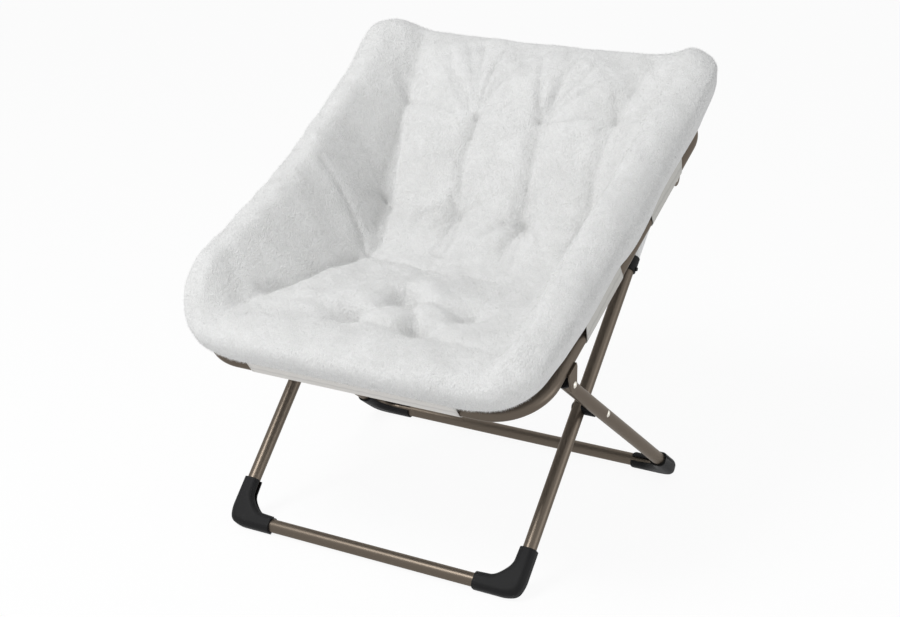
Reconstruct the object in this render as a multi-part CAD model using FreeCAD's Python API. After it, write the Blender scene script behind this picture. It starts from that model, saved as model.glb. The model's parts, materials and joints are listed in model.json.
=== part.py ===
import math
import os

import FreeCAD
import Part

from FreeCAD import Vector

# Driving dimensions, millimetres: the chair faces -Y, +Z is up, the floor is z = 0
tube_radius = 11.0
leg_bend = 45.0
floor_axis = 14.0
depth_shift = -7.6
front_foot_y = -261.0
rear_foot_y = 261.0
front_leg_x = 256.0
rear_leg_x = 296.0

# Seat ring: a flat rounded rectangle of tube, tilted up towards the back
ring_tilt = 26.0
ring_front_y = -296.0
ring_front_z = 312.0
ring_length = 720.0
ring_corner = 82.0

# Pivots: distance along the ring from its front edge, height over the ring plane
rear_leg_pivot = (113.0, -31.0)
front_leg_pivot = (600.0, -39.6)
fold_hinge = (240.0, 13.0)
fold_gap = 0.15

# Fittings
plate = 3.0
side_gap = 0.4
rivet_radius = 4.0
running_gap = 0.05
head_radius = 7.5
head_height = 2.4
ear_radius = 13.0
cap_radius = 14.0
cap_half = 13.5
cap_round = 10.5
cap_slot = 8.0
cap_arm = 82.0
cap_bend = 20.0
plug_length = 5.0
front_leg_past_pivot = 20.0
rear_leg_past_pivot = 8.2
spacer_radius = 13.0
collar_radius = 13.6
collar_length = 25.0
collar_from_crossing = 249.0
pocket_length = 132.0
pocket_wall = 1.3
sleeve_radius = 13.0
cloth_gap = 0.1
sleeve_end = 206.0
upper_sleeve = (447.0, 575.0)
hinge_sleeve = (195.0, 335.0)

# Cushion: rows along the ring of middle height, half width of the flat, crest height and reach to the side
cushion_rows = [(-30, 82, 228, 84, 296), (20, 78, 228, 96, 310), (60, 63, 226, 115, 326),
                (82, 53, 220, 118, 330), (150, 26, 203, 119, 329), (200, 7, 190, 115, 327),
                (240, -14, 178, 113, 325), (300, -47, 160, 110, 321), (335, -56, 160, 110, 320),
                (370, -54, 162, 111, 320), (425, -38, 178, 114, 321), (470, -22, 187, 116, 322),
                (520, 13, 193, 118, 324), (585, 55, 205, 120, 327), (638, 77, 214, 123, 330),
                (664, 86, 220, 125, 331), (750, 96, 230, 108, 331)]
cushion_depth = 62.0
roll_round = 32.0
roll_widest = 60.0
roll_bottom = 13.4
roll_foot = 3.0
roll_inside = -80.0
leg_clear = -54.0
wing_end = 425.0

# The pads end on a rounded rectangle inside the roll
core_half = 220.0
core_from = 60.0
core_to = 660.0
core_corner = 20.0
sewn_gap = 0.3

# Tufts
tuft_radius = 34.0
tuft_depth = 13.0
seat_tufts = [(-62.5, 105), (62.5, 105), (-118, 182), (0, 182), (118, 182)]
back_columns = [-198, -66, 66, 198]
back_rows = [440, 585]

across = Vector(1, 0, 0)
corner_x = rear_leg_x - ring_corner
back_corner = ring_length - ring_corner
ring_base = Vector(0, ring_front_y + depth_shift, ring_front_z)
ring_place = FreeCAD.Placement(ring_base, FreeCAD.Rotation(across, ring_tilt))
parts = {}


def on_ring(shape):
    placed = shape.copy()
    placed.Placement = ring_place.multiply(placed.Placement)
    return placed


def add_pair(name, shape):
    parts[name + "_right"] = shape
    parts[name + "_left"] = shape.mirror(Vector(0, 0, 0), across)


def unit(vector):
    return vector * (1.0 / vector.Length)


def rod(start, end, radius):
    return Part.makeCylinder(radius, (end - start).Length, start, end - start)


# Round bar along X through a point seen from the side
def cross_rod(point, x_from, x_to, radius):
    return rod(Vector(x_from, point.y, point.z), Vector(x_to, point.y, point.z), radius)


# Straight runs joined by tangent bends, swept with a round section
def bent_tube(points, radius, bend):
    edges = []
    start = points[0]
    for before, corner, after in zip(points, points[1:], points[2:]):
        back, ahead = unit(before - corner), unit(after - corner)
        half = back.getAngle(ahead) / 2
        middle = corner + unit(back + ahead) * (bend / math.sin(half) - bend)
        enter = corner + back * (bend / math.tan(half))
        leave = corner + ahead * (bend / math.tan(half))
        edges.append(Part.LineSegment(start, enter).toShape())
        edges.append(Part.Arc(enter, middle, leave).toShape())
        start = leave
    edges.append(Part.LineSegment(start, points[-1]).toShape())
    section = Part.Wire(Part.makeCircle(radius, points[0], points[1] - points[0]))
    return Part.Wire(edges).makePipeShell([section], True, False)


# Closed outline from a start point, then line ends or (mid point, end) arcs
def outline(start, *steps):
    edges = []
    here = start
    for step in steps + (start,):
        end = step[1] if isinstance(step, tuple) else step
        if isinstance(step, tuple):
            edges.append(Part.Arc(here, step[0], end).toShape())
        elif (end - here).Length > 1e-6:
            edges.append(Part.LineSegment(here, end).toShape())
        here = end
    return Part.Wire(edges)


def rivet_head(point, x_face, way):
    base = Vector(x_face, point.y, point.z)
    dome = (head_radius ** 2 + head_height ** 2) / (2 * head_height)
    ball = Part.makeSphere(dome, base - across * (way * (dome - head_height)), Vector(way, 0, 0))
    return ball.common(Part.makeCylinder(head_radius, head_height, base, Vector(way, 0, 0)))


def floor_point(x, y):
    return Vector(x, y + depth_shift, floor_axis)


# Leg lines, from the floor crossbars to their pivots on the ring
rear_pivot_point = ring_place.multVec(Vector(0, *rear_leg_pivot))
front_pivot_point = ring_place.multVec(Vector(0, *front_leg_pivot))
front_way = unit(front_pivot_point - floor_point(0, front_foot_y))
rear_way = unit(rear_pivot_point - floor_point(0, rear_foot_y))
front_top = front_pivot_point + front_way * front_leg_past_pivot
rear_top = rear_pivot_point + rear_way * rear_leg_past_pivot
foot_span = rear_foot_y - front_foot_y
leg_turn = front_way.y * rear_way.z - front_way.z * rear_way.y
crossing = floor_point(0, front_foot_y) + front_way * (foot_span * rear_way.z / leg_turn)


def leg_frame(half, foot_y, top):
    left, right = Vector(-half, top.y, top.z), Vector(half, top.y, top.z)
    corners = [left, floor_point(-half, foot_y), floor_point(half, foot_y), right]
    return bent_tube(corners, tube_radius, leg_bend)


# Moulded cap round a floor bend: a tight outer corner, and a slot that shows the tube along the inner curve
def corner_cap(half, foot_y, way, frame):
    corner = floor_point(half, foot_y)
    normal = way.cross(across)

    def put(inward, up, side=-cap_half):
        return corner - across * inward + way * up + normal * side

    def bend(radius, edge, side=-cap_half):
        middle = radius - (radius - edge) * math.sqrt(0.5)
        return put(middle, middle, side)
    far, thick = cap_arm, cap_radius
    wire = outline(put(far, -thick), put(cap_bend, -thick), (bend(cap_bend, -thick), put(-thick, cap_bend)),
                   put(-thick, far), put(thick, far), put(thick, leg_bend),
                   (bend(leg_bend, thick), put(leg_bend, thick)), put(far, thick), put(far, -thick))
    cap = Part.Face(wire).extrude(normal * (2 * cap_half))
    ends = (put(far, 0), put(0, far))
    rims = []
    for edge in cap.Edges:
        first, last = edge.Vertexes[0].Point, edge.Vertexes[-1].Point
        at_end = (first + last) * 0.5
        if abs((last - first).dot(normal)) < 0.01 and min((at_end - end).Length for end in ends) > 1:
            rims.append(edge)
    cap = cap.makeFillet(cap_round, rims)
    low = -cap_slot / 2
    inside = outline(put(far + 5, 0, low), put(leg_bend, 0, low), (bend(leg_bend, 0, low), put(0, leg_bend, low)),
                     put(0, far + 5, low), put(far + 5, far + 5, low), put(far + 5, 0, low))
    slot = Part.Face(inside).extrude(normal * cap_slot)
    floor = Part.makeBox(400, 400, 50, Vector(half - 200, corner.y - 200, -50))
    return cap.cut(frame).cut(slot).cut(floor)


def build_legs():
    front = leg_frame(front_leg_x, front_foot_y, front_top)
    rear = leg_frame(rear_leg_x, rear_foot_y, rear_top)
    add_pair("front_foot", corner_cap(front_leg_x, front_foot_y, front_way, front))
    add_pair("rear_foot", corner_cap(rear_leg_x, rear_foot_y, rear_way, rear))
    ends = (("front", front_leg_x, front_top, front_way), ("rear", rear_leg_x, rear_top, rear_way))
    for name, half, top, way in ends:
        end = Vector(half, top.y, top.z)
        add_pair(name + "_leg_plug", rod(end, end + way * plug_length, tube_radius))

    # Collar with a peg, and the cloth pocket above it
    low = Vector(front_leg_x, crossing.y, crossing.z) + front_way * collar_from_crossing
    high = low + front_way * collar_length
    peg = low + front_way * 5
    collar = rod(low, high, collar_radius).fuse(rod(peg, peg + across * (collar_radius + 2.4), 3.2))
    add_pair("leg_collar", collar.cut(front))
    pocket_top = high + front_way * pocket_length
    inside = rod(low, pocket_top + front_way, tube_radius + cloth_gap)
    pocket = rod(high, pocket_top, tube_radius + pocket_wall).cut(inside)
    add_pair("leg_pocket", pocket)

    # Scissor crossing: the spacer rides on the front leg, each leg carries one rivet head
    spacer = cross_rod(crossing, front_leg_x, rear_leg_x - tube_radius - side_gap, spacer_radius)
    add_pair("crossing_spacer", spacer.cut(front))
    sink = 0.8
    add_pair("crossing_rivet_inner", rivet_head(crossing, front_leg_x - tube_radius + sink, -1).cut(front))
    add_pair("crossing_rivet_outer", rivet_head(crossing, rear_leg_x + tube_radius - sink, 1).cut(rear))

    hole = rivet_radius + running_gap
    for side in (-1, 1):
        middle = side * front_leg_x
        front = front.cut(cross_rod(front_pivot_point, middle - 20, middle + 20, hole))
        rear = rear.cut(cross_rod(rear_pivot_point, side * rear_leg_x - 20, side * rear_leg_x + 20, hole))
    parts["front_leg_frame"] = front
    parts["rear_leg_frame"] = rear


# Ring halves, butted at the fold
def ring_half(end, far):
    corners = [(-rear_leg_x, end), (-rear_leg_x, far), (rear_leg_x, far), (rear_leg_x, end)]
    return on_ring(bent_tube([Vector(x, along, 0) for x, along in corners], tube_radius, ring_corner))


side_tube = rod(Vector(rear_leg_x, 0, 0), Vector(rear_leg_x, ring_length, 0), tube_radius)


def side_plate(x, thick, start, *steps):
    def put(point):
        return Vector(x, *point)
    placed = [(put(step[0]), put(step[1])) if isinstance(step[0], tuple) else put(step) for step in steps]
    return Part.Face(outline(put(start), *placed)).extrude(across * thick)


# Clevis under the seat half: two ears and a saddle behind the leg's end
def build_leg_clevis():
    along, over = rear_leg_pivot
    pivot = Vector(rear_leg_x, along, over)
    gap = tube_radius + side_gap
    low, high = rear_leg_x - gap - plate, rear_leg_x + gap + plate
    clevis = side_plate(low, high - low, (along - ear_radius, over),
                        ((along, over - ear_radius), (along + ear_radius, over)),
                        (along + 30, -9), (along + 30, -2), (along + 2, -2))
    below = -tube_radius - plate
    clevis = clevis.cut(Part.makeBox(2 * gap, 200, 100, Vector(rear_leg_x - gap, along - 100, below - 100)))
    clevis = clevis.cut(Part.makeBox(2 * gap, 100, 100, Vector(rear_leg_x - gap, along - 97, -101)))
    clevis = clevis.cut(side_tube).cut(cross_rod(pivot, low - 5, high + 5, rivet_radius))
    add_pair("leg_clevis", on_ring(clevis))
    rivet = cross_rod(pivot, low, high, rivet_radius)
    rivet = rivet.fuse(rivet_head(pivot, low, -1)).fuse(rivet_head(pivot, high, 1))
    add_pair("leg_clevis_rivet", on_ring(rivet))


# Plate on the back half's inner flank, with a bush out to the front leg
def build_back_plate():
    along, over = front_leg_pivot
    pivot = Vector(rear_leg_x, along, over)
    flank = rear_leg_x - tube_radius
    bracket = side_plate(flank - plate, plate, (along - 14, over), ((along, over - 14), (along + 14, over)),
                         (along + 20, 3), (along - 20, 3))
    weld = Part.makeBox(3, 40, 12, Vector(flank - 1, along - 20, -9))
    bracket = bracket.fuse(weld).cut(side_tube).cut(cross_rod(pivot, flank - 9, flank + 9, rivet_radius))
    add_pair("back_plate", on_ring(bracket))
    near, far = front_leg_x + tube_radius + side_gap, front_leg_x - tube_radius - side_gap
    bush = cross_rod(pivot, near, flank - plate, 12.0).cut(cross_rod(pivot, near, flank, rivet_radius))
    add_pair("back_plate_bush", on_ring(bush))
    rivet = cross_rod(pivot, far, flank, rivet_radius)
    rivet = rivet.fuse(rivet_head(pivot, far, -1)).fuse(rivet_head(pivot, flank, 1))
    add_pair("back_plate_rivet", on_ring(rivet))


# Fold hinge: two leaves on the inner flank, turning on a rivet level with the tube's top
def build_fold_hinge():
    along, over = fold_hinge
    pivot = Vector(rear_leg_x, along, over)
    flank = rear_leg_x - tube_radius
    seat_x = flank - side_gap - plate
    back_x = seat_x - side_gap - plate
    leaves = (("seat", -1, seat_x, rivet_radius + running_gap), ("back", 1, back_x, rivet_radius))
    for name, way, x, hole in leaves:
        far = along + way * 52
        leaf = side_plate(x, plate, (far, -6), (far, 5), (along + way * 4, over + 9),
                          ((along - way * 9, over), (along, over - 9)), (along + way * 14, -6))
        weld = Part.makeBox(flank + 2 - x, 36, 11, Vector(x, along + way * 34 - 18, -6))
        leaf = leaf.fuse(weld).cut(side_tube).cut(cross_rod(pivot, x - 5, x + 5, hole))
        add_pair("hinge_leaf_" + name, on_ring(leaf))
    rivet = cross_rod(pivot, back_x, flank - side_gap, rivet_radius).fuse(rivet_head(pivot, back_x, -1))
    add_pair("hinge_rivet", on_ring(rivet))


# Cloth sleeves that hold the cover to the ring
def sleeve(start, end):
    return rod(start, end, sleeve_radius).cut(rod(start, end, tube_radius + cloth_gap))


def build_sleeves():
    for name, along in (("front_sleeve", 0.0), ("top_sleeve", ring_length)):
        parts[name] = on_ring(sleeve(Vector(-sleeve_end, along, 0), Vector(sleeve_end, along, 0)))
    low, high = upper_sleeve
    add_pair("upper_sleeve", on_ring(sleeve(Vector(rear_leg_x, low, 0), Vector(rear_leg_x, high, 0))))
    # The lower side sleeve parts at the fold and leaves the hinge leaves' flank open
    low, high = hinge_sleeve
    fold = fold_hinge[0]
    flank = Part.makeBox(40, 400, 80, Vector(rear_leg_x - 44, fold - 200, -40))
    for name, start, end in (("seat", low, fold - 1.5), ("back", fold + 1.5, high)):
        cloth = sleeve(Vector(rear_leg_x, start, 0), Vector(rear_leg_x, end, 0)).cut(flank)
        add_pair("hinge_sleeve_" + name, on_ring(cloth))


# Middle height, flat half width, crest and reach at a distance along the ring
def cushion_row(along):
    rows = cushion_rows
    along = min(max(along, rows[0][0]), rows[-1][0])
    for first, second in zip(rows, rows[1:]):
        if along <= second[0]:
            share = (along - first[0]) / (second[0] - first[0])
            return [a + (b - a) * share for a, b in zip(first[1:], second[1:])]


# Height of the cushion's top: flat in the middle, then a slope up to the crest
def top_height(x, along):
    middle, flat, crest, reach = cushion_row(along)
    way = min(max((abs(x) - flat) / (reach - roll_round - flat), 0.0), 1.0)
    rise = 0.45 * way + 0.55 * way * way * (3 - 2 * way)
    return middle + max(crest - middle, 0.0) * rise


# Section of the rim roll, square to the ring: widest part, crest, inner slope, and a bottom clear of the legs
def roll_section(x, along, degrees, widest, crest):
    turn = math.radians(degrees)

    def put(out, over):
        return Vector(x + out * math.cos(turn), along + out * math.sin(turn), over)

    def on_top(out):
        place = put(out, 0)
        return put(out, min(top_height(place.x, place.y), crest - 0.02 * abs(out) ** 1.2))
    shoulder = put(widest - 0.3 * roll_round, roll_widest + 0.707 * (crest - roll_widest))
    end = on_top(roll_inside)
    drop = put(roll_inside, min(end.z - cushion_depth, roll_bottom - 1))
    return outline(drop, put(leg_clear, roll_bottom), put(roll_foot, roll_bottom),
                   (put(widest - 6, 0.6 * roll_widest), put(widest, roll_widest + 4)),
                   (shoulder, put(widest - roll_round, crest)),
                   (on_top(-46), end), drop)


def corner_station(centre_along, degrees, *shape):
    turn = math.radians(degrees)
    x = corner_x + ring_corner * math.cos(turn)
    return (x, centre_along + ring_corner * math.sin(turn), degrees) + shape


def side_station(along):
    crest, reach = cushion_row(along)[2:]
    return (rear_leg_x, along, 0, reach - rear_leg_x, crest)


# Smooth solid through a row of sections
def loft(sections):
    return Part.makeLoft(sections, True, False, False, 3)


# Upright prism over a rounded rectangle in the ring's plane
def core(inset):
    width = 2 * (core_half - inset)
    length = core_to - core_from - 2 * inset
    block = Part.makeBox(width, length, 600, Vector(inset - core_half, core_from + inset, -300))
    upright = [edge for edge in block.Edges if edge.BoundBox.ZLength > 500]
    return block.makeFillet(core_corner, upright)


def roll(stations):
    return loft([roll_section(*station) for station in stations]).cut(core(0.0))


def build_rim():
    front = (29, 84)
    front_roll = [(x, 0, -90) + front for x in (-corner_x, 0, corner_x)]
    parts["front_roll"] = on_ring(roll(front_roll))

    wing = [(corner_x, 0, -90) + front]
    wing += [corner_station(ring_corner, -60, 30, 93), corner_station(ring_corner, -30, 32, 106)]
    wing += [side_station(along) for along in (ring_corner, 130, 185, 240, 300, 362, wing_end)]
    pocket = Part.makeBox(20, 116, 60, Vector(rear_leg_x - 26, fold_hinge[0] - 58, -34))
    add_pair("wing", on_ring(roll(wing).cut(pocket)))

    top = (38, 108)
    side = [side_station(along) for along in (wing_end, 478, 531, 585, back_corner)]
    side += [corner_station(back_corner, 30, 48, 128), corner_station(back_corner, 60, 51, 130)]
    side.append((corner_x, ring_length, 90) + top)
    add_pair("back_side", on_ring(roll(side)))
    along_top = ((-corner_x, top), (0, (35, 101)), (corner_x, top))
    top_roll = [(x, ring_length, 90) + shape for x, shape in along_top]
    parts["top_roll"] = on_ring(roll(top_roll))


# Section across a pad: the slopes at its sides, and arcs between the sewn columns
def pad_section(along, columns, bulge):
    def put(x, over):
        return Vector(x, along, over)
    middle, flat = cushion_row(along)[:2]
    half = core_half + 6
    edge = top_height(half, along)
    marks = [x * min(flat / columns[-1], 1.0) for x in columns]
    turned = (half + marks[-1]) / 2
    arcs = [(put(-turned, top_height(turned, along)), put(marks[0], middle - 0.4 * bulge))]
    for left, right in zip(marks, marks[1:]):
        arcs.append((put((left + right) / 2, middle + 0.6 * bulge), put(right, middle - 0.4 * bulge)))
    under = middle - cushion_depth
    return outline(put(-half, edge - cushion_depth), put(-half, edge), *arcs,
                   (put(turned, top_height(turned, along)), put(half, edge)), put(half, edge - cushion_depth),
                   put(marks[-1], under), put(marks[0], under), put(-half, edge - cushion_depth))


def pad(rows, columns):
    sections = [pad_section(along, columns, bulge) for along, bulge in rows]
    return loft(sections).common(core(sewn_gap))


# Sewn tufts: round dents pulled into the top of a pad
def tufted(shape, spots):
    for x, along in spots:
        column = Part.makeLine(Vector(x, along, -300), Vector(x, along, 300)).common(shape)
        top = column.BoundBox.ZMax
        shape = shape.cut(Part.makeSphere(tuft_radius, Vector(x, along, top + tuft_radius - tuft_depth)))
    return shape


def build_pads():
    seat = [(core_from - 10, 4), (82, 6), (150, 8), (200, 6), (240, 4), (298, 2)]
    parts["seat_pad"] = on_ring(tufted(pad(seat, [-160, -60, 60, 160]), seat_tufts))
    back = [(303, 3), (335, 8), (370, 12), (425, 15), (470, 16), (520, 16), (585, 15), (638, 12)]
    back.append((core_to + 10, 8))
    spots = []
    for along in back_rows:
        narrow = min(cushion_row(along)[1] / back_columns[-1], 1.0)
        spots += [(x * narrow, along) for x in back_columns]
    parts["back_pad"] = on_ring(tufted(pad(back, back_columns), spots))


build_legs()
parts["seat_frame_tube"] = ring_half(fold_hinge[0] - fold_gap, 0.0)
parts["back_frame_tube"] = ring_half(fold_hinge[0] + fold_gap, ring_length)
build_leg_clevis()
build_back_plate()
build_fold_hinge()
build_sleeves()
build_rim()
build_pads()

os.makedirs("parts", exist_ok=True)
for node, shape in parts.items():
    shape.exportStep("parts/" + node + ".step")
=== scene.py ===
import json
import math

import bpy
import numpy as np
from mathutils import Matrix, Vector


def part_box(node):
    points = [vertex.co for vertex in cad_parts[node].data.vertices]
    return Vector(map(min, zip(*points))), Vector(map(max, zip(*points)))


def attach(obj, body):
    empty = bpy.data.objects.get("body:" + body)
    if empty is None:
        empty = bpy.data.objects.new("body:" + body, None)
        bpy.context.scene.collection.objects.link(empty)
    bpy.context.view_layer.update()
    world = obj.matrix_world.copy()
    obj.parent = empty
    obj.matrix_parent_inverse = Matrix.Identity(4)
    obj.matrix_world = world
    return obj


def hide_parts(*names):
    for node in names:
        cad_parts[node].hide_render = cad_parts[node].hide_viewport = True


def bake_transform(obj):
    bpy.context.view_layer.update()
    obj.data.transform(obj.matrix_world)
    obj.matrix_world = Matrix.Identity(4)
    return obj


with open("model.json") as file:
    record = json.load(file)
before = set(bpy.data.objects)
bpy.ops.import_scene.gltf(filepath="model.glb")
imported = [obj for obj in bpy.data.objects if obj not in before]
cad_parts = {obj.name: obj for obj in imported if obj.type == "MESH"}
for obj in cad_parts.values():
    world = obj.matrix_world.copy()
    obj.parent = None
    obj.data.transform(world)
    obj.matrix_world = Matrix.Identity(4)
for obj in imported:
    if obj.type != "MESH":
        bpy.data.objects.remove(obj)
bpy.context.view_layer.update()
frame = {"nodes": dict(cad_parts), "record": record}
nodes = frame["nodes"]
print("frame loaded:", len(nodes), "nodes")

# the ring's own frame: across, along from the front edge, over its plane, all in metres
ring = {"tilt": math.radians(26), "halfWidth": 0.296}
sleeveLow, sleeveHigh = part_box("front_sleeve")
ring["front"] = (sleeveLow + sleeveHigh) / 2


def toWorld(x, along, over):
    cosTilt, sinTilt = math.cos(ring["tilt"]), math.sin(ring["tilt"])
    y = ring["front"].y + along * cosTilt - over * sinTilt
    z = ring["front"].z + along * sinTilt + over * cosTilt
    return np.stack([x, y, z], axis=-1)


def toRing(points):
    cosTilt, sinTilt = math.cos(ring["tilt"]), math.sin(ring["tilt"])
    y, z = points[:, 1] - ring["front"].y, points[:, 2] - ring["front"].z
    return y * cosTilt + z * sinTilt, z * cosTilt - y * sinTilt


def ringPoint(along):
    return tuple(toWorld(0.0, along, 0.0))


# small helpers for the modelling

def deselectAll():
    bpy.ops.object.select_all(action="DESELECT")


def makeActive(obj):
    deselectAll()
    obj.select_set(True)
    bpy.context.view_layer.objects.active = obj


# one operator on the whole mesh of the active object
def inEditMode(operator, **settings):
    bpy.ops.object.mode_set(mode="EDIT")
    bpy.ops.mesh.select_all(action="SELECT")
    operator(**settings)
    bpy.ops.object.mode_set(mode="OBJECT")


def readPoints(obj):
    flat = np.zeros(len(obj.data.vertices) * 3)
    obj.data.vertices.foreach_get("co", flat)
    return flat.reshape(-1, 3)


def writePoints(obj, points):
    obj.data.vertices.foreach_set("co", np.ascontiguousarray(points, dtype=np.float64).ravel())
    obj.data.update()


# a number at every point of a mesh, for its material to read
def writeMark(mesh, name, values):
    mesh.attributes.new(name, "FLOAT", "POINT")
    mesh.attributes[name].data.foreach_set("value", values)


def readMark(mesh, name):
    values = np.zeros(len(mesh.vertices))
    mesh.attributes[name].data.foreach_get("value", values)
    return values


def ease(value):
    value = np.clip(value, 0, 1)
    return value * value * (3 - 2 * value)


# 0 before start, 1 from start + span on
def rises(value, start, span):
    return ease((value - start) / span)


# 1 up to end - span, 0 after end
def falls(value, end, span):
    return ease((end - value) / span)


# smooth curve through a few points, read at any place
def curveThrough(points):
    knots = np.array([p[0] for p in points], float)
    heights = np.array([p[1] for p in points], float)
    slopes = np.gradient(heights, knots)

    def read(at):
        at = np.clip(at, knots[0], knots[-1])
        i = np.clip(np.searchsorted(knots, at) - 1, 0, len(knots) - 2)
        step = knots[i + 1] - knots[i]
        t = (at - knots[i]) / step
        first = (1 + 2 * t) * (1 - t) ** 2 * heights[i] + t * (1 - t) ** 2 * step * slopes[i]
        second = t * t * (3 - 2 * t) * heights[i + 1] + t * t * (t - 1) * step * slopes[i + 1]
        return first + second
    return read


# distance from points to a drawn line, with the share of the way along it
def alongLine(x, along, line):
    best = np.full(x.shape, np.inf)
    share = np.zeros(x.shape)
    line = np.array(line, float)
    spans = np.linalg.norm(np.diff(line, axis=0), axis=1)
    total = spans.sum()
    done = 0.0
    for start, end, span in zip(line, line[1:], spans):
        way = (end - start) / span
        t = np.clip((x - start[0]) * way[0] + (along - start[1]) * way[1], 0, span)
        dist = np.hypot(x - start[0] - way[0] * t, along - start[1] - way[1] * t)
        share = np.where(dist < best, (done + t) / total, share)
        best = np.minimum(best, dist)
        done += span
    return best, share


# materials

class Value:
    def __init__(self, maker, socket):
        self.maker = maker
        self.socket = socket

    def maths(self, operation, first, second):
        return self.maker.node("ShaderNodeMath", {"operation": operation}, {0: first, 1: second})

    def __add__(self, other):
        return self.maths("ADD", self, other)

    def __radd__(self, other):
        return self.maths("ADD", other, self)

    def __sub__(self, other):
        return self.maths("SUBTRACT", self, other)

    def __rsub__(self, other):
        return self.maths("SUBTRACT", other, self)

    def __mul__(self, other):
        return self.maths("MULTIPLY", self, other)

    def __rmul__(self, other):
        return self.maths("MULTIPLY", other, self)


class NodeMaker:
    def __init__(self, tree):
        self.tree = tree

    def feed(self, socket, value):
        if isinstance(value, Value):
            self.tree.links.new(value.socket, socket)
        else:
            socket.default_value = value

    def node(self, kind, settings, inputs, out=0):
        made = self.tree.nodes.new(kind)
        for name, value in settings.items():
            setattr(made, name, value)
        for name, value in inputs.items():
            self.feed(made.inputs[name], value)
        return Value(self, made.outputs[out])

    def clamp(self, value):
        return self.node("ShaderNodeClamp", {}, {"Value": value})

    def mixShader(self, share, first, second):
        return self.node("ShaderNodeMixShader", {}, {0: share, 1: first, 2: second})

    # 1 where the camera looks, straight, in a gloss or through glass
    def seen(self):
        rays = ("Is Camera Ray", "Is Glossy Ray", "Is Transmission Ray")
        straight, gloss, through = (self.node("ShaderNodeLightPath", {}, {}, ray) for ray in rays)
        return self.clamp(straight + gloss + through)


class Finish(NodeMaker):
    def __init__(self, name, **values):
        self.material = bpy.data.materials.new(name)
        self.material.use_nodes = True
        super().__init__(self.material.node_tree)
        self.shader = self.tree.nodes["Principled BSDF"]
        for socket, value in values.items():
            self.set(socket, value)

    def set(self, socket, value):
        self.feed(self.shader.inputs[socket.replace("_", " ")], value)

    def place(self):
        return self.node("ShaderNodeTexCoord", {}, {}, "Object")

    def noise(self, place, scale, detail=2.0, rough=0.5):
        inputs = {"Vector": place, "Scale": scale, "Detail": detail, "Roughness": rough}
        return self.node("ShaderNodeTexNoise", {}, inputs)

    def stretch(self, place, scale):
        return self.node("ShaderNodeMapping", {"vector_type": "POINT"}, {"Vector": place, "Scale": scale})

    def mark(self, name):
        return self.node("ShaderNodeAttribute", {"attribute_name": name}, {}, "Fac")

    def mixColour(self, share, first, second):
        return self.node("ShaderNodeMix", {"data_type": "RGBA"}, {"Factor": share, 6: first, 7: second}, 2)

    def bump(self, height, distance, strength):
        inputs = {"Height": height, "Distance": distance, "Strength": strength}
        self.set("Normal", self.node("ShaderNodeBump", {}, inputs))


# white pile over a plain lining that is greyer than the pile as painted shade, with the pile's edge ragged
# and darker lines of painted shade along its creases and at its buttons
furLook = {
    "bright": (0.88, 0.88, 0.875, 1), "shade": (0.75, 0.75, 0.742, 1),
    # the lining's colour is greyer than the fur's, as painted shade on the rim's lower side
    "liningPaintedShade": (0.70, 0.70, 0.695, 1), "paintedCreaseShade": (0.30, 0.30, 0.29, 1),
    # noises: scale, detail and roughness
    "pile": (430, 2.0, 0.7), "clump": (90, 3.0, 0.6), "patch": (16, 2.0, 0.5), "crease": (38, 2.0, 0.5),
    "combed": (1.0, 1.0, 0.5), "mix": (0.6, 0.35, 0.4), "contrast": 3.0, "ragged": 0.006, "edgeSharp": 130,
    "creaseShadeFrom": 0.35, "creaseShadePile": 0.5, "clumpBump": 0.8, "creaseBump": 0.35, "bump": (0.0031, 0.9),
}


def furFinish():
    look = furLook
    fur = Finish("whiteFur", Roughness=0.95, Sheen_Weight=0.3, Sheen_Roughness=0.6, Specular_IOR_Level=0.1)
    place = fur.place()
    pile = fur.noise(fur.stretch(place, look["combed"]), *look["pile"])
    clump = fur.noise(place, *look["clump"])
    patch = fur.noise(place, *look["patch"])
    crease = fur.noise(place, *look["crease"])
    furShare = fur.clamp((fur.mark("furEdge") + (pile - 0.5) * look["ragged"]) * look["edgeSharp"] + 0.5)
    pileMix, clumpMix, patchMix = look["mix"]
    mixed = pileMix * pile + clumpMix * clump + patchMix * patch
    furColour = fur.mixColour(fur.clamp((mixed - 0.5) * look["contrast"]), look["shade"], look["bright"])
    creaseShadeShare = fur.clamp(fur.mark("creaseShadeMark") * (look["creaseShadeFrom"] + look["creaseShadePile"] * pile))
    # painted shade: the fur is darkened towards a dark grey along its creases and at its buttons
    furColour = fur.mixColour(creaseShadeShare, furColour, look["paintedCreaseShade"])
    # below the fur's edge the colour turns to the lining's, greyer as painted shade
    fur.set("Base_Color", fur.mixColour(furShare, look["liningPaintedShade"], furColour))
    height = (pile + clump * look["clumpBump"]) * furShare + crease * look["creaseBump"] * (1 - furShare)
    fur.bump(height, *look["bump"])
    return fur.material


def strandFinish():
    look = {"pale": (0.93, 0.93, 0.925, 1), "dim": (0.70, 0.70, 0.69, 1)}
    strand = Finish("furStrands", Roughness=0.9, Sheen_Weight=0.3, Specular_IOR_Level=0.1)
    strand.set("Base_Color", strand.mixColour(strand.mark("tone"), look["dim"], look["pale"]))
    return strand.material


# woven cloth with soft creases and a darker seam
clothLook = {
    "weave": 1100, "weaveStretch": (1.0, 0.3, 1.0), "weaveBump": 0.3, "crease": 45, "seamShade": 0.45,
    "bump": (0.0015, 0.6),
}


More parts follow.
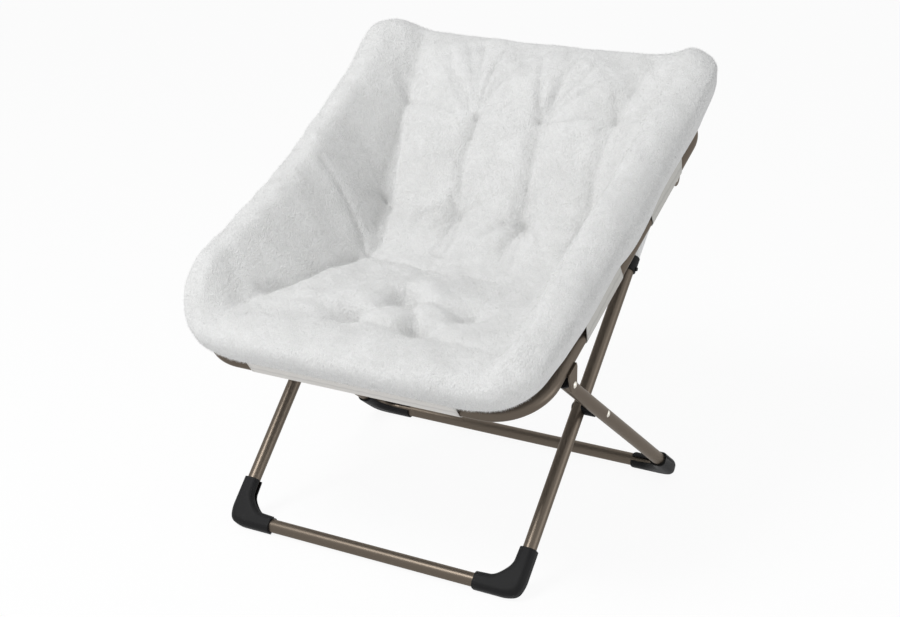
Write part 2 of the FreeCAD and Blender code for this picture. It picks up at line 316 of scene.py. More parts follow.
def clothFinish(name, colour):
    look = clothLook
    cloth = Finish(name, Roughness=0.85, Specular_IOR_Level=0.2)
    place = cloth.place()
    seamColour = [part * look["seamShade"] for part in colour[:3]] + [1]
    cloth.set("Base_Color", cloth.mixColour(cloth.mark("stitch"), colour, seamColour))
    weave = cloth.noise(cloth.stretch(place, look["weaveStretch"]), look["weave"])
    cloth.bump(weave * look["weaveBump"] + cloth.noise(place, look["crease"]), *look["bump"])
    return cloth.material


# paint or plastic with a fine grain, given as its scale, depth and strength
def grainedFinish(name, grain, **values):
    surface = Finish(name, **values)
    scale, deep, strength = grain
    surface.bump(surface.noise(surface.place(), scale), deep, strength)
    return surface.material


def tubeFinish():
    return grainedFinish("bronzePaint", (1800, 0.0001, 0.12), Base_Color=(0.125, 0.103, 0.082, 1),
                         Specular_Tint=(0.72, 0.68, 0.64, 1), Metallic=0.85, Roughness=0.36)


def plasticFinish():
    return grainedFinish("blackPlastic", (1400, 0.0003, 0.3), Base_Color=(0.008, 0.008, 0.0085, 1),
                         Roughness=0.6, Specular_IOR_Level=0.18)


def zincFinish():
    return Finish("zincRivet", Base_Color=(0.74, 0.71, 0.64, 1), Metallic=0.85, Roughness=0.32).material


finishes = {
    "fur": furFinish(),
    "strand": strandFinish(),
    "sleeve": clothFinish("sleeveCloth", (0.56, 0.55, 0.52, 1)),
    # the front sleeve is the same grey cloth as the side sleeves, given a lighter colour as painted light
    "frontSleeve": clothFinish("frontSleeveClothPaintedLight", (0.74, 0.72, 0.69, 1)),
    "pocket": clothFinish("whiteCloth", (0.80, 0.80, 0.80, 1)),
    "tube": tubeFinish(),
    "plastic": plasticFinish(),
    "zinc": zincFinish(),
}
for part in frame["record"]["subparts"]:
    mesh = nodes[part["node"]].data
    mesh.materials.clear()
    mesh.materials.append(finishes[part["material_slot"]])
print("finishes set")

# the cushion, one sewn piece over the whole ring
# lists of points, with the depths and widths beside them, are in millimetres, and single sizes in metres
# a pair named From or To says where something fades in or out, and over what length

cushion = {
    "cells": 220, "halfSize": (0.33, 0.39), "crowding": 0.10, "outlineSteps": 16, "merge": 0.0002,
    "middle": 0.335, "thickness": 0.062, "bend": (0.070, 0.420),
    # outline seen square to the ring, right half
    "outline": [(0, -29), (150, -29), (214, -28.5), (270, -15), (310, 26), (326, 82), (328, 150),
                (327, 200), (325, 240), (322, 300), (323, 335), (324, 370), (324, 425), (323, 470),
                (324, 520), (327, 585), (330, 650), (331, 706), (317, 740), (281, 755), (214, 758),
                (110, 756), (0, 755)],
    # along, then height of the middle, half width of the flat, height of the crest, reach to the side
    "rows": [(-30, 82, 228, 84, 296), (20, 78, 228, 96, 310), (60, 63, 226, 115, 326),
             (82, 53, 220, 118, 330), (150, 26, 203, 119, 329), (200, 7, 190, 115, 327),
             (240, -14, 178, 113, 325), (300, -47, 160, 110, 321), (335, -58, 160, 110, 320),
             (370, -58, 162, 111, 320), (425, -45, 178, 114, 321), (470, -23, 187, 116, 322),
             (520, 12, 193, 118, 324), (585, 54, 205, 120, 327), (638, 77, 214, 123, 330),
             (664, 86, 220, 125, 331), (750, 96, 230, 112, 331)],
    # the rim's rounding over and under its widest line, and that line's height
    "round": 0.042,
    "underRound": [(-30, 24), (20, 38), (60, 64), (100, 68), (160, 56), (240, 48), (300, 42), (335, 29),
                   (420, 30), (455, 42), (560, 48), (620, 50), (690, 76), (750, 80)],
    "widestAt": [(-30, 56), (20, 68), (60, 80), (100, 82), (160, 76), (240, 68), (335, 58), (425, 58),
                 (585, 72), (664, 80), (750, 84)],
    # the wall: the share rounded under its crest, how soft its foot is on the left, and what the right adds
    "wallTop": 0.25, "wallSoft": (0.03, 0.13), "softFrom": (-0.02, 0.1),
    # the ears at the top corners, and how far the widest line lifts there
    "ear": (0.288, 0.728), "earRise": 0.017, "earWide": 0.050,
    "earLift": 0.015, "liftSideFrom": (0.20, 0.09), "liftBackFrom": (0.62, 0.10),
    # where the fur ends on the rim, and how much further it goes under at the front and the top
    "furFrom": -0.0005, "furUnder": 0.024, "furFrontTo": (0.045, 0.06), "furTopFrom": (0.70, 0.03),
    "furTopTo": (0.29, 0.05),
}

underside = {
    "rim": 0.0138, "deepFrom": (0.080, 0.045),
    "corner": (0.262, 0.028), "cornerRise": 0.010, "cornerWide": 0.045,
    "hinge": 0.24, "hingeRise": 0.016, "hingeWide": 0.06,
    "hingeFrom": (0.245, 0.02), "hingeTo": (0.305, 0.02),
}

# padding between the sewn columns of the back, and the seat's pillow
padding = {
    "lump": 0.013, "columnWide": 0.132, "narrowing": 0.09, "narrowTo": (0.585, 0.15),
    "rowWide": 0.155, "rowMiddle": 0.511, "columnShare": 0.8, "rowShare": 0.2,
    "level": 0.62, "softTop": 0.02,
    "backFrom": (0.33, 0.07), "backTo": (0.735, 0.08), "sideTo": (0.245, 0.05),
    "pillow": 0.014, "pillowRound": 0.020, "pillowRear": 0.308, "edgeFade": 0.006,
    "seatFrom": (0.05, 0.08), "seatTo": (0.309, 0.006), "pillowTo": (0.11, 0.12),
}

# deep is how far a line is drawn in, wide its half width, fade the share of its length at each end
sewn = {
    "backTufts": [(-206, 601), (-67, 589), (51, 598), (186, 610),
                  (-194, 442), (-52, 446), (68, 451), (183, 455)],
    # depth of a tuft and of its button in each row, and the pleats' strength, count and shift
    "upperTuft": (0.011, 0.007), "lowerTuft": (0.015, 0.016), "rowsPart": 0.5,
    "tuftWide": 0.024, "buttonWide": 0.006, "pleats": [(0.20, 5, 40), (0.14, 9, 30)],
    "seatTufts": [(-58, 100), (62, 96), (-4, 176), (116, 170)],
    "seatTuft": {"deep": 0.027, "wide": 0.030, "button": 0.012, "buttonWide": 0.012, "short": 1.15},
    "channels": [
        ([(-235, 745), (-224, 693), (-212, 636), (-206, 601)], 6, 11),
        ([(-240, 642), (-221, 627), (-206, 604)], 4, 7),
        ([(-167, 713), (-142, 662), (-105, 624), (-70, 590)], 5, 8),
        ([(-109, 740), (-87, 659), (-70, 602)], 5, 7),
        ([(-30, 682), (-51, 650), (-64, 599)], 4, 7),
        ([(-67, 589), (-68, 567), (-73, 534), (-68, 500), (-52, 446)], 7, 11),
        ([(-206, 601), (-208, 576), (-205, 531), (-206, 470), (-194, 442)], 7, 10),
        ([(-194, 442), (-186, 395), (-176, 356)], 6, 8),
        ([(-52, 446), (-85, 444), (-114, 430), (-127, 407)], 3.5, 5),
        ([(-52, 446), (-66, 434), (-91, 402)], 3.5, 5),
        ([(-52, 446), (-45, 412), (-41, 340)], 5, 10),
        ([(34, 663), (37, 636), (51, 599)], 4, 7),
        ([(127, 716), (103, 672), (73, 634), (53, 600)], 5, 8),
        ([(51, 598), (54, 563), (59, 510), (68, 451)], 7, 11),
        ([(68, 451), (73, 410), (89, 327)], 5, 10),
        ([(68, 451), (57, 417), (50, 377)], 3.5, 6),
        ([(186, 610), (189, 639), (202, 683), (215, 745)], 6, 11),
        ([(186, 610), (179, 575), (173, 533), (178, 455)], 6, 10),
        ([(183, 455), (176, 412), (171, 356)], 6, 8),
        ([(-140, 735), (-110, 680), (-72, 600)], 3, 4), ([(-60, 735), (-62, 680), (-66, 602)], 3, 4),
        ([(0, 705), (-35, 655), (-62, 598)], 3, 4), ([(85, 735), (72, 680), (55, 605)], 3, 4),
        ([(165, 690), (120, 650), (58, 604)], 3, 4), ([(10, 725), (28, 670), (48, 604)], 3, 4),
        ([(68, 451), (30, 430), (5, 400)], 3, 4), ([(68, 451), (105, 425), (122, 395)], 3, 4)],
    "channelSpread": 1 / 0.72, "channelFade": 0.12,
    "stitches": [[(-200, 601), (-159, 595), (-130, 590), (-102, 586)], [(61, 599), (106, 594), (158, 604)]],
    "stitch": {"deep": 0.0016, "wide": 0.0035, "fade": 0.06},
    "seatFolds": [
        ([(-232, 104), (-140, 112), (-58, 100)], 5, 12), ([(-58, 100), (2, 92), (62, 96)], 11, 12),
        ([(-58, 100), (-22, 132), (-4, 176)], 8, 11), ([(62, 96), (40, 140), (-4, 176)], 8, 11),
        ([(62, 96), (100, 126), (116, 170)], 8, 11), ([(-4, 176), (56, 182), (116, 170)], 7, 11),
        ([(-4, 176), (-20, 240), (-30, 296)], 4, 12), ([(116, 170), (130, 240), (128, 300)], 3, 12),
        ([(62, 96), (140, 80), (215, 70)], 4, 12)],
    "seatFoldFade": 0.05,
    "wingSeam": [(166, 312), (190, 345), (212, 366), (234, 378), (262, 388)],
    "wing": {"deep": 0.007, "wide": 0.006, "fade": 0.10},
    "seatEdge": [(166, 312), (172, 278), (177, 239), (188, 194), (196, 155), (212, 128), (232, 100)],
    "edge": {"deep": 0.010, "wide": 0.007, "fade": 0.10},
    "rearEdge": [(-166, 312), (0, 308), (166, 312)],
    "rear": {"deep": 0.013, "wide": 0.007, "fade": 0.03}, "rearEases": 0.9, "rearFrom": (-0.11, 0.09),
}

# fine lines of painted shade along the creases, channels and stitches, and spots of it at the buttons: how
# strongly, how wide, and the fade at the ends
paintedCreaseShade = {
    "channelShare": 1 / 26, "channel": {"wide": 0.0040, "fade": 0.25},
    "stitch": {"deep": 0.22, "wide": 0.0026, "fade": 0.06},
    "folds": [(sewn["wingSeam"], 0.3), (sewn["seatEdge"][:4], 0.5),
              ([(166, 312), (120, 311), (75, 310)], 0.6)],
    "fold": {"wide": 0.0035, "fade": 0.20},
    "spot": 0.0045,
}

creases = {"waves": (0.14, 0.09, 0.06, 0.04), "each": 3, "height": 0.010, "seed": 7}

rowNames = ("along", "middle", "flat", "crest", "reach")
rowTable = np.array(cushion["rows"], float) / 1000


def rowValue(name, along):
    return curveThrough(rowTable[:, [0, rowNames.index(name)]])(along)


def inMetres(points, sign=1):
    return [(sign * p[0] / 1000, p[1] / 1000) for p in points]


# closed outline of the cushion, a smooth curve with close points
def drawOutline():
    half = np.array(cushion["outline"]) / 1000
    closed = np.vstack([half, half[-2:0:-1] * [-1, 1]])
    before, after, further = np.roll(closed, 1, 0), np.roll(closed, -1, 0), np.roll(closed, -2, 0)
    first = after - before
    second = 2 * before - 5 * closed + 4 * after - further
    third = 3 * closed - before - 3 * after + further
    steps = np.linspace(0, 1, cushion["outlineSteps"], endpoint=False)
    dense = [0.5 * (2 * closed + first * t + second * t ** 2 + third * t ** 3) for t in steps]
    return np.stack(dense, 1).reshape(-1, 2)


rimLine = drawOutline()


# a square sheet of cells laid out to the outline, a little closer at the rim
def laidOut(u, v):
    share = np.maximum(np.abs(u), np.abs(v))
    halfWide, halfLong = cushion["halfSize"]
    angle = np.arctan2(v * halfLong, u * halfWide)
    fromMiddle = rimLine - [0, cushion["middle"]]
    lineAngle = np.arctan2(fromMiddle[:, 1], fromMiddle[:, 0])
    order = np.argsort(lineAngle)
    reach = np.interp(angle, lineAngle[order], np.hypot(*fromMiddle.T)[order], period=2 * math.pi)
    share = share + cushion["crowding"] * share * (1 - share) * share
    return share * reach * np.cos(angle), cushion["middle"] + share * reach * np.sin(angle)


def toRim(x, along):
    dist, _ = alongLine(x, along, np.vstack([rimLine, rimLine[:1]]))
    return dist


def groove(x, along, line, deep, wide, fade):
    dist, share = alongLine(x, along, line)
    ends = ease(share / fade) * ease((1 - share) / fade)
    return deep * ends * np.exp(-(dist / wide) ** 2)


# a button with pleats round it, deeper in the lower row
def backTuft(x, along, spot):
    dx, dy = x - spot[0], along - spot[1]
    r = np.hypot(dx, dy)
    turn = np.arctan2(dy, dx)
    pleats = 1
    for place, (strength, count, shift) in zip(spot, sewn["pleats"]):
        pleats = pleats + strength * np.cos(count * turn + place * shift)
    deep, button = sewn["lowerTuft"] if spot[1] < sewn["rowsPart"] else sewn["upperTuft"]
    return deep * np.exp(-r / sewn["tuftWide"] * pleats) + button * np.exp(-r / sewn["buttonWide"])


def seatTuft(x, along, spot):
    tuft = sewn["seatTuft"]
    r = np.hypot(x - spot[0], (along - spot[1]) * tuft["short"])
    return tuft["deep"] * np.exp(-(r / tuft["wide"]) ** 2) + tuft["button"] * np.exp(-r / tuft["buttonWide"])


# padding swells between the sewn columns of the back
def backSwell(x, along):
    onBack = rises(along, *padding["backFrom"]) * falls(along, *padding["backTo"])
    wide = padding["columnWide"] * (1 - padding["narrowing"] * falls(along, *padding["narrowTo"]))
    columns = np.sqrt(np.abs(np.cos(math.pi * x / wide)) + padding["softTop"])
    fromRow = (along - padding["rowMiddle"]) / padding["rowWide"]
    rows = np.sqrt(np.abs(np.cos(math.pi * fromRow)) + padding["softTop"])
    form = padding["columnShare"] * columns + padding["rowShare"] * rows - padding["level"]
    return padding["lump"] * onBack * falls(np.abs(x), *padding["sideTo"]) * form


# the seat lies in the bucket like a pillow, which flattens out to the right
def seatSwell(x, along):
    edgeLine = np.array(inMetres(sewn["seatEdge"]))
    toEdge, _ = alongLine(np.abs(x), along, edgeLine)
    toRear = np.abs(padding["pillowRear"] - along)
    halfSeat = np.interp(along, edgeLine[::-1, 1], edgeLine[::-1, 0])
    onSeat = ease((halfSeat - np.abs(x)) / padding["edgeFade"] + 0.5)
    onSeat = onSeat * falls(along, *padding["seatTo"]) * rises(along, *padding["seatFrom"])
    pillow = padding["pillow"] * onSeat * (1 - np.exp(-np.minimum(toEdge, toRear) / padding["pillowRound"]))
    return pillow * falls(x, *padding["pillowTo"])


# rise of the bucket's wall: a fold or a soft start, an even slope, and a rounding under the crest
def wall(t, softness):
    top = cushion["wallTop"]
    t = (np.sqrt(t ** 2 + softness ** 2) - softness) / (np.sqrt(1 + softness ** 2) - softness)
    past = np.maximum(t - (1 - top), 0)
    return (t - past ** 2 / (2 * top)) / (1 - top / 2)


def topHeight(x, along):
    middle, flat, crest, reach = (rowValue(name, along) for name in rowNames[1:])
    t = np.clip((np.abs(x) - flat) / (reach - cushion["round"] - flat), 0, 1)
    leftSoft, moreRight = cushion["wallSoft"]
    softness = leftSoft + moreRight * rises(x, *cushion["softFrom"])
    height = middle + np.maximum(crest - middle, 0) * wall(t, softness)
    earX, earAlong = cushion["ear"]
    toEar = np.hypot(np.abs(x) - earX, along - earAlong)
    height = height + cushion["earRise"] * np.exp(-toEar ** 2 / cushion["earWide"] ** 2)
    return height + backSwell(x, along) + seatSwell(x, along)


def sewing(x, along):
    cut = np.zeros(x.shape)
    for spot in inMetres(sewn["backTufts"]):
        cut += backTuft(x, along, spot)
    for spot in inMetres(sewn["seatTufts"]):
        cut += seatTuft(x, along, spot)
    for line, deep, wide in sewn["channels"]:
        wide = wide / 1000 * sewn["channelSpread"]
        cut += groove(x, along, inMetres(line), deep / 1000, wide, sewn["channelFade"])
    for line, deep, wide in sewn["seatFolds"]:
        cut += groove(x, along, inMetres(line), deep / 1000, wide / 1000, sewn["seatFoldFade"])
    for line in sewn["stitches"]:
        cut += groove(x, along, inMetres(line), **sewn["stitch"])
    for sign in (-1, 1):
        cut += groove(x, along, inMetres(sewn["wingSeam"], sign), **sewn["wing"])
    cut += groove(x, along, inMetres(sewn["seatEdge"], -1), **sewn["edge"])
    rear = groove(x, along, inMetres(sewn["rearEdge"]), **sewn["rear"])
    return cut + rear * (1 - sewn["rearEases"] * rises(x, *sewn["rearFrom"]))


# how strongly the fur is painted darker as shade along the creases and at the buttons
def creaseShadeMark(x, along):
    part = np.zeros(x.shape)
    for line, deep, _ in sewn["channels"]:
        strength = deep * paintedCreaseShade["channelShare"]
        part = np.maximum(part, groove(x, along, inMetres(line), strength, **paintedCreaseShade["channel"]))
    for line in sewn["stitches"]:
        part = np.maximum(part, groove(x, along, inMetres(line), **paintedCreaseShade["stitch"]))
    for line, strength in paintedCreaseShade["folds"]:
        part = np.maximum(part, groove(x, along, inMetres(line, -1), strength, **paintedCreaseShade["fold"]))
    for spot in inMetres(sewn["backTufts"] + sewn["seatTufts"]):
        part = np.maximum(part, np.exp(-np.hypot(x - spot[0], along - spot[1]) / paintedCreaseShade["spot"]))
    return part


def wrinkles(x, along):
    soft = np.zeros(x.shape)
    dice = np.random.default_rng(creases["seed"])
    for wave in creases["waves"]:
        for _ in range(creases["each"]):
            turn, phase = dice.uniform(0, math.pi), dice.uniform(0, 2 * math.pi)
            way = x * math.cos(turn) + along * math.sin(turn)
            soft += wave * creases["height"] * np.sin(2 * math.pi * way / wave + phase)
    return soft


def rounded(rim, depth):
    share = np.clip(rim / depth, 0, 1)
    return np.sqrt(1 - (1 - share) ** 2)


# the lining lies just over the tube, higher at the front corners and over the hinges
def undersideHeight(x, along, rim, inner):
    deep = rises(rim, *underside["deepFrom"])
    cornerX, cornerAlong = underside["corner"]
    toCorner = np.hypot(np.abs(x) - cornerX, along - cornerAlong)
    rise = underside["rim"] + underside["cornerRise"] * np.exp(-(toCorner / underside["cornerWide"]) ** 2)
    overHinge = rises(np.abs(x), *underside["hingeFrom"]) * falls(np.abs(x), *underside["hingeTo"])
    fromHinge = (along - underside["hinge"]) / underside["hingeWide"]
    rise = rise + underside["hingeRise"] * np.exp(-fromHinge ** 4) * overHinge
    return rise * (1 - deep) + np.minimum(inner - cushion["thickness"], rise) * deep


# how far inside the fur a point lies: it ends at the rim, and further under at the front and the top
def furReach(x, along, rim):
    atFront = falls(along, *cushion["furFrontTo"])
    atTop = rises(along, *cushion["furTopFrom"]) * falls(np.abs(x), *cushion["furTopTo"])
    atEnds = np.maximum(atFront, atTop)
    return rim - (cushion["furFrom"] * (1 - atEnds) - cushion["furUnder"] * atEnds)


def makeHalf(top):
    deselectAll()
    cells = cushion["cells"]
    bpy.ops.mesh.primitive_grid_add(x_subdivisions=cells, y_subdivisions=cells, size=2)
    sheet = bpy.context.object
    u, v, _ = readPoints(sheet).T
    x, along = laidOut(u, v)
    onRim = np.isclose(np.maximum(np.abs(u), np.abs(v)), 1)
    rim = np.where(onRim, 0, toRim(x, along))
    edge = curveThrough(inMetres(cushion["widestAt"]))(along)
    lift = rises(np.abs(x), *cushion["liftSideFrom"]) * rises(along, *cushion["liftBackFrom"])
    edge += cushion["earLift"] * lift
    inner = topHeight(x, along)
    if top:
        form = inner - sewing(x, along) + wrinkles(x, along)
        over = edge + (form - edge) * rounded(rim, cushion["round"])
    else:
        underRound = curveThrough(inMetres(cushion["underRound"]))(along)
        over = edge - (edge - undersideHeight(x, along, rim, inner)) * rounded(rim, underRound)
    writePoints(sheet, toWorld(x, along, over))
    sheet.data.materials.append(finishes["fur"])
    writeMark(sheet.data, "furEdge", furReach(x, along, rim if top else -rim))
    # painted shade along the creases, on the upper side only
    writeMark(sheet.data, "creaseShadeMark", creaseShadeMark(x, along) * top)
    if not top:
        inEditMode(bpy.ops.mesh.flip_normals)
    return sheet


def makeCushion():
    upper, under = makeHalf(True), makeHalf(False)
    makeActive(upper)
    under.select_set(True)
    bpy.ops.object.join()
    upper.name = "cushion"
    inEditMode(bpy.ops.mesh.remove_doubles, threshold=cushion["merge"])
    bpy.ops.object.shade_smooth()
    return upper


pad = makeCushion()
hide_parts("seat_pad", "back_pad", "front_roll", "top_roll", "wing_left", "wing_right",
            "back_side_left", "back_side_right")
foldFrom, foldTo = (ringPoint(along) for along in cushion["bend"])
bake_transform(pad)
print("cushion sewn:", len(pad.data.vertices), "points")

# short strands over the fur, thin tapered blades combed down and outwards

pile = {
    "count": 190000, "length": (0.0026, 0.0048), "width": 0.0005, "sunk": 0.0008, "seed": 11,
    "lean": 1.6, "comb": (0, -0.35, -0.75), "tousle": 0.55, "twist": 0.3, "bareFromCreaseShade": 0.5,
    "tone": 0.6, "toneRange": 0.45, "rimRange": 1.10, "rimWide": 0.08,
}


def unit(vectors):
    return vectors / np.linalg.norm(vectors, axis=1, keepdims=True)


def makeStrands():
    dice = np.random.default_rng(pile["seed"])
    points = readPoints(pad)
    normals = np.zeros(points.size)
    pad.data.vertices.foreach_get("normal", normals)
    normals = normals.reshape(-1, 3)
    edge, creaseShadeValues = readMark(pad.data, "furEdge"), readMark(pad.data, "creaseShadeMark")
    corners = np.zeros(len(pad.data.loops), int)
    pad.data.loops.foreach_get("vertex_index", corners)
    faces = corners.reshape(-1, 4)
    # no strands where the painted crease shade is strong
    faces = faces[(edge[faces].min(axis=1) > 0) & (creaseShadeValues[faces].max(axis=1) < pile["bareFromCreaseShade"])]
    corner = [points[faces[:, i]] for i in range(4)]
    area = np.linalg.norm(np.cross(corner[2] - corner[0], corner[3] - corner[1]), axis=1)
    picked = faces[dice.choice(len(faces), pile["count"], p=area / area.sum())]
    u, v = dice.random((2, pile["count"], 1))
    shares = ((1 - u) * (1 - v), u * (1 - v), u * v, (1 - u) * v)
    roots = sum(share * points[picked[:, i]] for i, share in enumerate(shares))
    out = sum(share * normals[picked[:, i]] for i, share in enumerate(shares))
    comb = np.array(pile["comb"]) + pile["tousle"] * dice.normal(size=roots.shape)
    way = unit(out + pile["lean"] * (comb - out * (comb * out).sum(axis=1, keepdims=True)))
    across = unit(np.cross(way, out + pile["twist"] * dice.normal(size=out.shape))) * pile["width"] / 2
    tips = roots + way * dice.uniform(*pile["length"], (pile["count"], 1))
    roots = roots - out * pile["sunk"]
    blades = np.stack([roots - across, roots + across, tips], axis=1).reshape(-1, 3)
    mesh = bpy.data.meshes.new("furStrands")
    mesh.from_pydata(blades, [], np.arange(len(blades)).reshape(-1, 3))
    strands = bpy.data.objects.new("furStrands", mesh)
    bpy.context.collection.objects.link(strands)
    atRim = np.exp(-(edge[picked[:, 0]] / pile["rimWide"]) ** 2)
    spread = pile["toneRange"] + pile["rimRange"] * atRim
    tone = pile["tone"] + (dice.random(pile["count"]) - 0.5) * spread
    writeMark(mesh, "tone", np.repeat(tone, 3))
    mesh.materials.append(finishes["strand"])
    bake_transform(strands)


makeStrands()
print("strands set:", pile["count"])

# sleeves: cloth from the cushion's lining round the tube, open at both ends
# spans run along the ring's side, or across it for the front one

sleeve = {
    "radius": 0.0124, "wrap": math.radians(195), "cloth": 0.0011,
    "columns": 60, "rows": 36, "lineShare": 0.4,
    "apexOver": 0.040, "inset": 0.014, "frontApex": (0.019, 0.031),
    "upper": (0.447, 0.575), "hinge": (0.178, 0.320), "front": (-0.184, 0.184), "bend": (0.205, 0.275),
    "slack": 0.0006, "slackWaves": 210, "seam": 0.30, "seamWide": 0.022, "seamDark": 0.28,
}


# the straight run from the apex to where the cloth touches the tube, then round it
def makeSleeve(name, replaced, span, apexAt, put, finish):
    start, end = span
    deselectAll()
    bpy.ops.mesh.primitive_grid_add(x_subdivisions=sleeve["columns"], y_subdivisions=sleeve["rows"], size=2)
    cloth = bpy.context.object
    cloth.name = name
    share, lengthwise, _ = (readPoints(cloth).T + 1) / 2
    along = start + (end - start) * lengthwise
    apexOut, apexOver = apexAt(along)
    radius, lineShare = sleeve["radius"], sleeve["lineShare"]
    slant = np.hypot(apexOut, apexOver)
    touch = np.arctan2(apexOver, apexOut) - np.arccos(radius / slant)
    touchOut, touchOver = radius * np.cos(touch), radius * np.sin(touch)
    onLine = share < lineShare
    line = np.clip(share / lineShare, 0, 1)
    angle = touch - np.clip((share - lineShare) / (1 - lineShare), 0, 1) * sleeve["wrap"]
    out = np.where(onLine, apexOut + (touchOut - apexOut) * line, radius * np.cos(angle))
    over = np.where(onLine, apexOver + (touchOver - apexOver) * line, radius * np.sin(angle))
    slack = sleeve["slack"] * np.sin(along * sleeve["slackWaves"]) * np.sin(math.pi * line)
    writePoints(cloth, put(out + slack, along, over))
    seam = sleeve["seamDark"] * np.exp(-((share - sleeve["seam"]) / sleeve["seamWide"]) ** 2)
    writeMark(cloth.data, "stitch", seam)
    cloth.modifiers.new("thick", "SOLIDIFY").thickness = sleeve["cloth"]
    bpy.ops.object.modifier_apply(modifier="thick")
    inEditMode(bpy.ops.mesh.normals_make_consistent, inside=False)
    bpy.ops.object.shade_smooth()
    cloth.data.materials.append(finishes[finish])
    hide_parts(*replaced)
    return cloth


def sideApex(along):
    out = rowValue("reach", along) - ring["halfWidth"] - sleeve["inset"]
    return out, np.full(along.shape, sleeve["apexOver"])


def frontApex(along):
    return [np.full(along.shape, value) for value in sleeve["frontApex"]]


def putSide(side):
    def put(out, along, over):
        return toWorld(side * (ring["halfWidth"] + out), along, over)
    return put


def putFront(out, along, over):
    return toWorld(along, -out, over)


bendFrom, bendTo = (ringPoint(along) for along in sleeve["bend"])
for side, name in ((-1, "left"), (1, "right")):
    upper = makeSleeve("upperSleeve_" + name, ["upper_sleeve_" + name], sleeve["upper"], sideApex,
                       putSide(side), "sleeve")
    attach(upper, "back_frame")
    hingeNodes = ["hinge_sleeve_seat_" + name, "hinge_sleeve_back_" + name]
    lower = makeSleeve("hingeSleeve_" + name, hingeNodes, sleeve["hinge"], sideApex,
                       putSide(side), "sleeve")
    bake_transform(lower)
# the front sleeve takes the lighter colour of the same cloth, painted light
front = makeSleeve("frontSleeve", ["front_sleeve"], sleeve["front"], frontApex, putFront,
                   "frontSleeve")
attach(front, "seat_frame")
print("sleeves set")

# fittings: the solids' own meshes, merged and drawn a little to the real forms

fitting = {
    # right floor corner of each leg frame, and the y and z of its upper pivot
    "front": {"corner": (0.256, -0.2686, 0.014), "pivot": (0.2530, 0.5394)},
    "rear": {"corner": (0.296, 0.2534, 0.014), "pivot": (-0.1884, 0.3337)},
    # the caps' arms past this length keep this share of it
    "armFrom": 0.045, "armShare": 0.608,
    "outer": 0.003, "outerTo": (0.012, 0.02), "outerWide": 0.02,
    "inner": 0.0034, "innerFrom": (0.004, 0.008), "innerWide": 0.030,
    "clevisPivot": (0.113, -0.031), "clevisBack": 0.62,
    "clevisFront": 0.012, "clevisFrontTo": (0.012, 0.012),
    "rivet": 0.75, "spacer": 0.72, "merge": 0.00001, "sharp": math.radians(35),
}


def redrawn(node, pieceName, body, draw):
    piece = nodes[node].copy()
    piece.data = nodes[node].data.copy()
    piece.name = pieceName
    bpy.context.collection.objects.link(piece)
    makeActive(piece)
    inEditMode(bpy.ops.mesh.remove_doubles, threshold=fitting["merge"])
    writePoints(piece, draw(readPoints(piece)))
    bpy.ops.object.shade_smooth_by_angle(angle=fitting["sharp"])
    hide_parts(node)
    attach(piece, body)


# corner cap: shorter arms, fuller at the outer corner and along the inner curve
def drawCap(leg, side):
    x, y, z = fitting[leg]["corner"]
    pivotY, pivotZ = fitting[leg]["pivot"]
    way = np.array([0, pivotY - y, pivotZ - z])
    way = way / np.linalg.norm(way)
    corner = np.array([side * x, y, z])

    def draw(points):
        inward = (corner - points)[:, 0] * side
        up = (points - corner) @ way
        both = np.stack([inward, up])
        past = np.maximum(both - fitting["armFrom"], 0)
        outside = falls(both.mean(axis=0), *fitting["outerTo"])
        outside = outside * np.exp(-((inward - up) / fitting["outerWide"]) ** 2)
        inside = rises(both.min(axis=0), *fitting["innerFrom"])
        inside = inside * np.exp(-((inward - up) / fitting["innerWide"]) ** 2)
        drawn = both - past * (1 - fitting["armShare"])
        drawn += fitting["inner"] * inside - fitting["outer"] * outside
        points = points + np.outer(drawn[1] - up, way)
        points[:, 0] -= side * (drawn[0] - inward)
        points[:, 2] = np.maximum(points[:, 2], 0)
        return points
    return draw


# clevis: shorter behind its pivot, leaning forward towards its top
def drawClevis(points):
    along, over = toRing(points)
    pivotAlong, pivotOver = fitting["clevisPivot"]
    behind = np.maximum(along - pivotAlong, 0)
    rise = np.clip((over - pivotOver) / -pivotOver, 0, 1)
    forward = fitting["clevisFront"] * rise * falls(behind, *fitting["clevisFrontTo"])
    drawn = along - behind * (1 - fitting["clevisBack"]) - forward
    return toWorld(points[:, 0], drawn, over)


# rivets and spacers: smaller round the same axis
def drawSmaller(share):
    def draw(points):
        middle = (points.min(axis=0) + points.max(axis=0)) / 2
        return np.where([True, False, False], points, middle + (points - middle) * share)
    return draw


smallRivet, smallSpacer = drawSmaller(fitting["rivet"]), drawSmaller(fitting["spacer"])
for side, name in ((-1, "left"), (1, "right")):
    for leg in ("front", "rear"):
        redrawn(leg + "_foot_" + name, leg + "Cap_" + name, leg + "_legs", drawCap(leg, side))
    redrawn("leg_clevis_" + name, "legClevis_" + name, "seat_frame", drawClevis)
    redrawn("leg_clevis_rivet_" + name, "clevisRivet_" + name, "seat_frame", smallRivet)
    redrawn("crossing_rivet_outer_" + name, "crossingRivet_" + name, "rear_legs", smallRivet)
    redrawn("crossing_spacer_" + name, "crossingSpacer_" + name, "front_legs", smallSpacer)
print("fittings set")

# floor, light and camera

stage = {
    "floor": 12.0, "floorColour": (0.90, 0.90, 0.90, 1), "shadowShare": 0.07,
    "white": (1, 1, 1, 1), "sky": (0.98, 0.99, 1.0, 1), "skyStrength": 0.48, "aim": (0, 0, 0.4),
    "keyLamp": {"place": (-1.0, -1.9, 3.2), "size": 1.2, "power": 78},
    "fillLamp": {"place": (2.5, 0.1, 0.5), "size": 1.4, "power": 11},
}

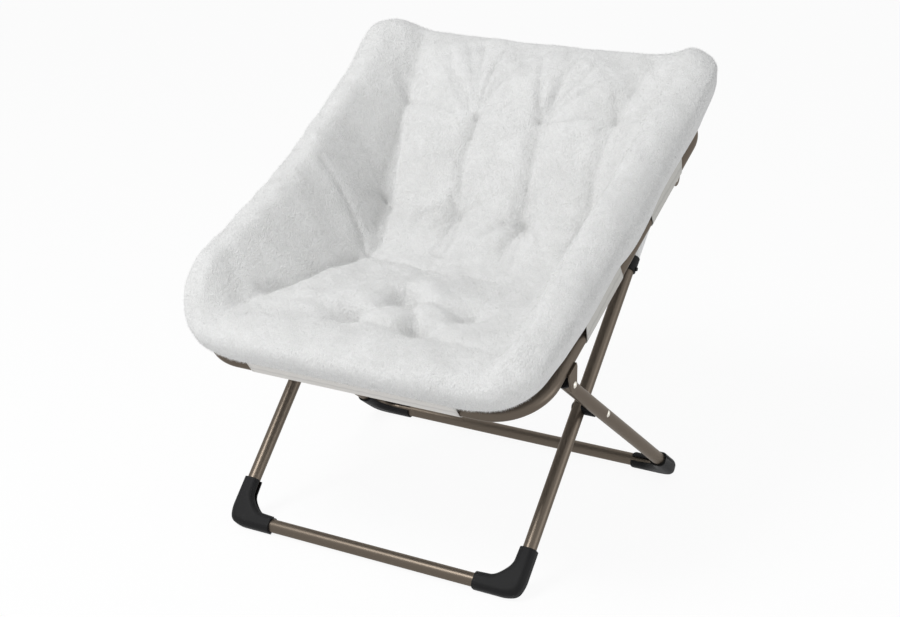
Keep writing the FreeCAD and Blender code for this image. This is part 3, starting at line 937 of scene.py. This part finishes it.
# the photograph's view: focal length and width in its pixels, place in metres, turns in radians
view = {
    "focal": 1695.1, "imageWidth": 900, "sensor": 36,
    "place": (1.2672, -2.3048, 1.2923), "down": 0.3475, "turn": 0.5042,
}


# white to the eye, with a share left for the shadow
def makeFloor():
    deselectAll()
    bpy.ops.mesh.primitive_plane_add(size=stage["floor"])
    floor = bpy.context.object
    floor.name = "studioFloor"
    pale = Finish("paleFloor", Base_Color=stage["floorColour"], Roughness=0.9)
    glow = pale.node("ShaderNodeEmission", {}, {"Color": stage["white"], "Strength": 1.0})
    lit = Value(pale, pale.shader.outputs[0])
    mixed = pale.mixShader(pale.seen() * (1 - stage["shadowShare"]), lit, glow)
    pale.feed(pale.tree.nodes["Material Output"].inputs["Surface"], mixed)
    floor.data.materials.append(pale.material)


def makeWorld():
    world = bpy.data.worlds.new("studio")
    bpy.context.scene.world = world
    world.use_nodes = True
    studio = NodeMaker(world.node_tree)
    back = studio.tree.nodes["Background"]
    studio.feed(back.inputs["Color"], stage["sky"])
    studio.feed(back.inputs["Strength"], stage["skyStrength"])
    white = studio.node("ShaderNodeBackground", {}, {"Color": stage["white"], "Strength": 1.0})
    mixed = studio.mixShader(studio.seen(), Value(studio, back.outputs[0]), white)
    studio.feed(studio.tree.nodes["World Output"].inputs["Surface"], mixed)


def makeLamp(name):
    settings = stage[name]
    deselectAll()
    bpy.ops.object.light_add(type="AREA", location=settings["place"])
    lamp = bpy.context.object
    lamp.name = name
    lamp.data.size = settings["size"]
    lamp.data.energy = settings["power"]
    toAim = np.array(stage["aim"]) - np.array(settings["place"])
    tilt = math.atan2(np.hypot(toAim[0], toAim[1]), -toAim[2])
    lamp.rotation_euler = (tilt, 0, math.atan2(toAim[1], toAim[0]) - math.pi / 2)


def makeCamera():
    bpy.ops.object.camera_add(location=view["place"], rotation=(math.pi / 2 - view["down"], 0, view["turn"]))
    camera = bpy.context.object
    camera.data.sensor_width = view["sensor"]
    camera.data.lens = view["sensor"] * view["focal"] / view["imageWidth"]
    bpy.context.scene.camera = camera


makeFloor()
makeWorld()
makeLamp("keyLamp")
makeLamp("fillLamp")
makeCamera()
bpy.context.scene.view_settings.view_transform = "Standard"
print("stage set")
